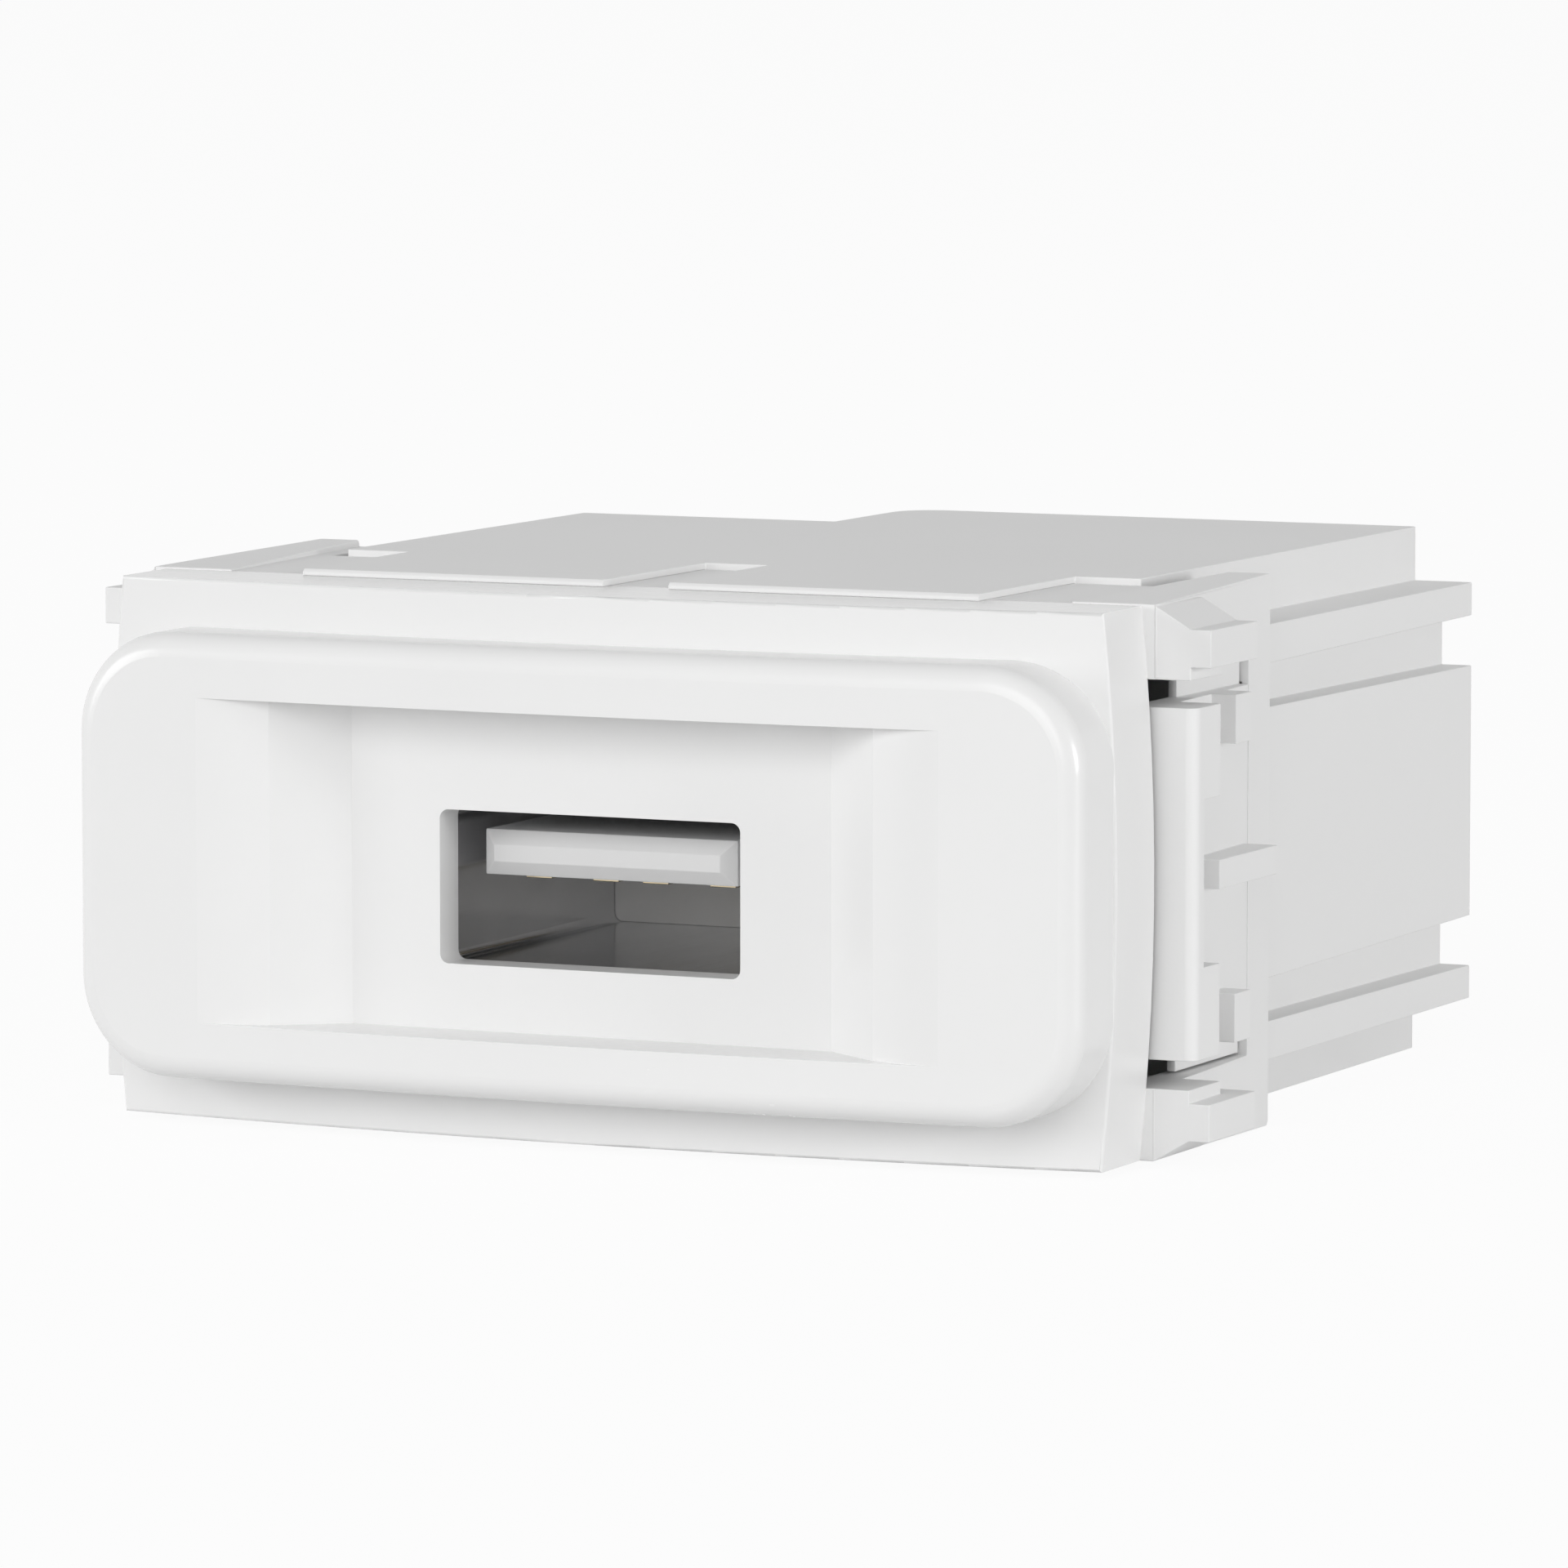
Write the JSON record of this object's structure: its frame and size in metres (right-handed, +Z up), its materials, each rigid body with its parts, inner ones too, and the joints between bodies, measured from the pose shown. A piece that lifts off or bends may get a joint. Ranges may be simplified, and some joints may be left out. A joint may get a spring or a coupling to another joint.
{
  "type": "usb charging module",
  "caption": "Flush-mounting charging module with a bowed white front, a scooped pad around a USB socket, sprung side catches and a stepped rear case with railed sides.",
  "frame": {"origin": "under the middle of the bounding box, on the plane the module's underside rests on", "axes": "+Z up, -Y out of the front face, +X to the right as seen from the front"},
  "size_m": [0.0512, 0.0492, 0.0234],
  "materials": {
    "cover_white": "satin gloss",
    "body_white": "fine satin",
    "socket_metal": "plated",
    "socket_plastic": "satin",
    "contact_metal": "plated",
    "board_laminate": "satin",
    "ferrite": "matt",
    "bobbin_plastic": "satin",
    "winding_tape": "taped",
    "can_sleeve": "gloss",
    "disc_coating": "gloss",
    "resistor_coating": "satin",
    "chip_plastic": "matt",
    "terminal_brass": "plain",
    "screw_steel": "plated"
  },
  "bodies": {
    "module": {"front_cover": "cover_white", "collar_frame": "body_white", "rear_case": "body_white", "usb_shell": "socket_metal", "usb_insulator": "socket_plastic", "usb_contacts": "contact_metal", "main_board": "board_laminate", "transformer_core": "ferrite", "transformer_bobbin": "bobbin_plastic", "transformer_winding": "winding_tape", "input_capacitor": "can_sleeve", "filter_capacitor": "can_sleeve", "output_capacitor": "can_sleeve", "y_capacitor": "disc_coating", "fuse_resistor": "resistor_coating", "input_inductor": "ferrite", "bridge_rectifier": "chip_plastic", "controller_chip": "chip_plastic", "output_diode": "chip_plastic", "line_terminal": "terminal_brass", "neutral_terminal": "terminal_brass", "terminal_screws": "screw_steel"},
    "left_catch": {"left_catch": "body_white"},
    "right_catch": {"right_catch": "body_white"}
  },
  "joints": [
    {"name": "left_catch_hinge", "type": "hinge", "parent": "module", "child": "left_catch", "pos_m": [-0.0219, -0.0044, 0.0117], "axis": [0, 0, 1], "range_deg": [0, 6], "stiffness_Nm_per_rad": 0.05},
    {"name": "right_catch_hinge", "type": "hinge", "parent": "module", "child": "right_catch", "pos_m": [0.0219, -0.0044, 0.0117], "axis": [0, 0, -1], "range_deg": [0, 6], "stiffness_Nm_per_rad": 0.05}
  ]
}
